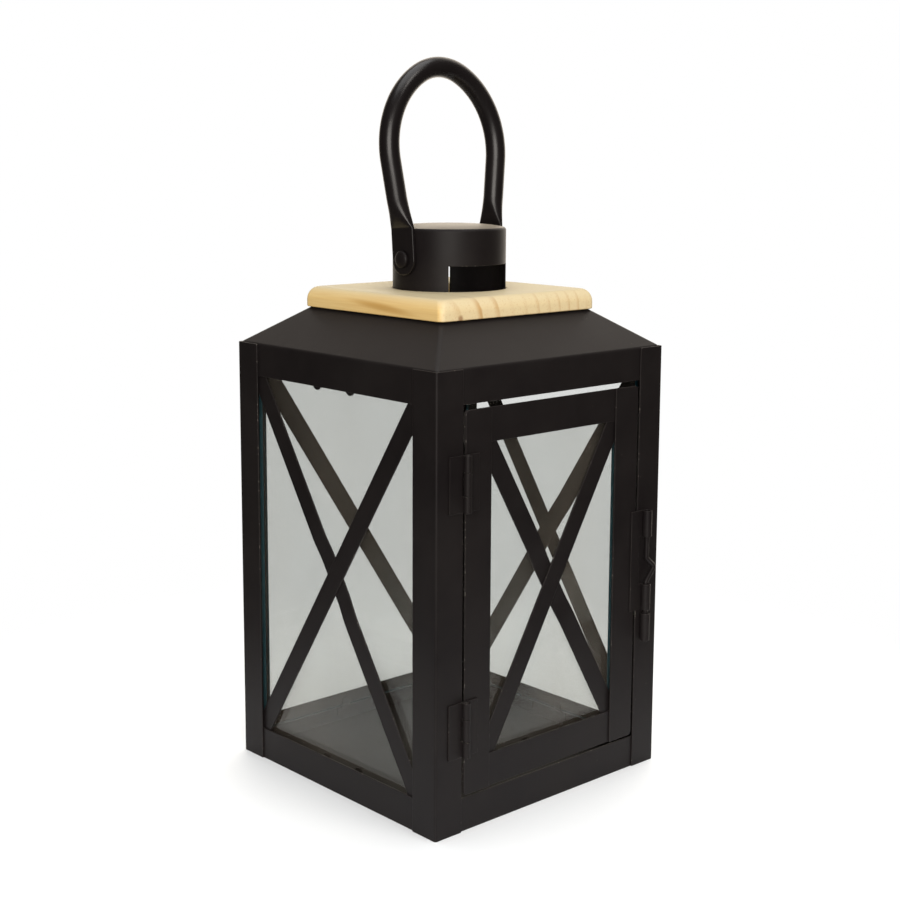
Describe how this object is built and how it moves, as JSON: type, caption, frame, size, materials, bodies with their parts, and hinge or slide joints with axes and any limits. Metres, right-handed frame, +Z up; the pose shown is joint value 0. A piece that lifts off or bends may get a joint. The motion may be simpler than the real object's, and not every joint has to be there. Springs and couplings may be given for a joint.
{
  "type": "candle lantern",
  "caption": "Square sheet-metal candle lantern with crossed bars over glass, a hinged front door with a drop bolt, a hipped roof, a pine board, a vented chimney and a swinging bail.",
  "frame": {"origin": "middle of the underside, on the plane that the lantern stands on", "axes": "+Z up, the door faces -Y and its hinges are at -X"},
  "size_m": [0.15, 0.155, 0.3552],
  "materials": {
    "black_steel": "satin black powder coat on thin steel sheet",
    "clear_glass": "clear float glass, faintly green at its edges",
    "pine": "planed and sanded pine with eased edges",
    "zinc_steel": "plain zinc-plated screw"
  },
  "bodies": {
    "frame": {"base_tray": "black_steel", "front_left_post": "black_steel", "front_right_post": "black_steel", "back_left_post": "black_steel", "back_right_post": "black_steel", "roof": "black_steel", "left_front_bar": "black_steel", "left_rear_bar": "black_steel", "left_glass": "clear_glass", "left_glass_clips": "black_steel", "right_front_bar": "black_steel", "right_rear_bar": "black_steel", "right_glass": "clear_glass", "right_glass_clips": "black_steel", "back_front_bar": "black_steel", "back_rear_bar": "black_steel", "back_glass": "clear_glass", "back_glass_clips": "black_steel", "upper_hinge_post_leaf": "black_steel", "lower_hinge_post_leaf": "black_steel", "upper_hinge_pin": "black_steel", "lower_hinge_pin": "black_steel", "latch_keeper": "black_steel", "wood_top": "pine", "chimney": "black_steel", "top_screws": "zinc_steel", "handle_rivets": "black_steel"},
    "door": {"door_left_stile": "black_steel", "door_right_stile": "black_steel", "door_bottom_rail": "black_steel", "door_top_rail": "black_steel", "door_front_bar": "black_steel", "door_rear_bar": "black_steel", "door_glass": "clear_glass", "door_glass_clips": "black_steel", "upper_hinge_door_leaf": "black_steel", "lower_hinge_door_leaf": "black_steel", "latch_plate": "black_steel"},
    "latch_bolt": {"latch_bolt": "black_steel"},
    "handle": {"handle": "black_steel"}
  },
  "joints": [
    {"name": "door_hinge", "type": "hinge", "parent": "frame", "child": "door", "pos_m": [-0.05825, -0.0772, 0.1068], "axis": [0, 0, -1], "range_deg": [0, 175]},
    {"name": "bolt_slide", "type": "slide", "parent": "door", "child": "latch_bolt", "axis": [0, 0, 1], "range_m": [0, 0.0098]},
    {"name": "bail_pivot", "type": "hinge", "parent": "frame", "child": "handle", "pos_m": [0, 0, 0.258], "axis": [1, 0, 0], "range_deg": [-95, 104]}
  ]
}
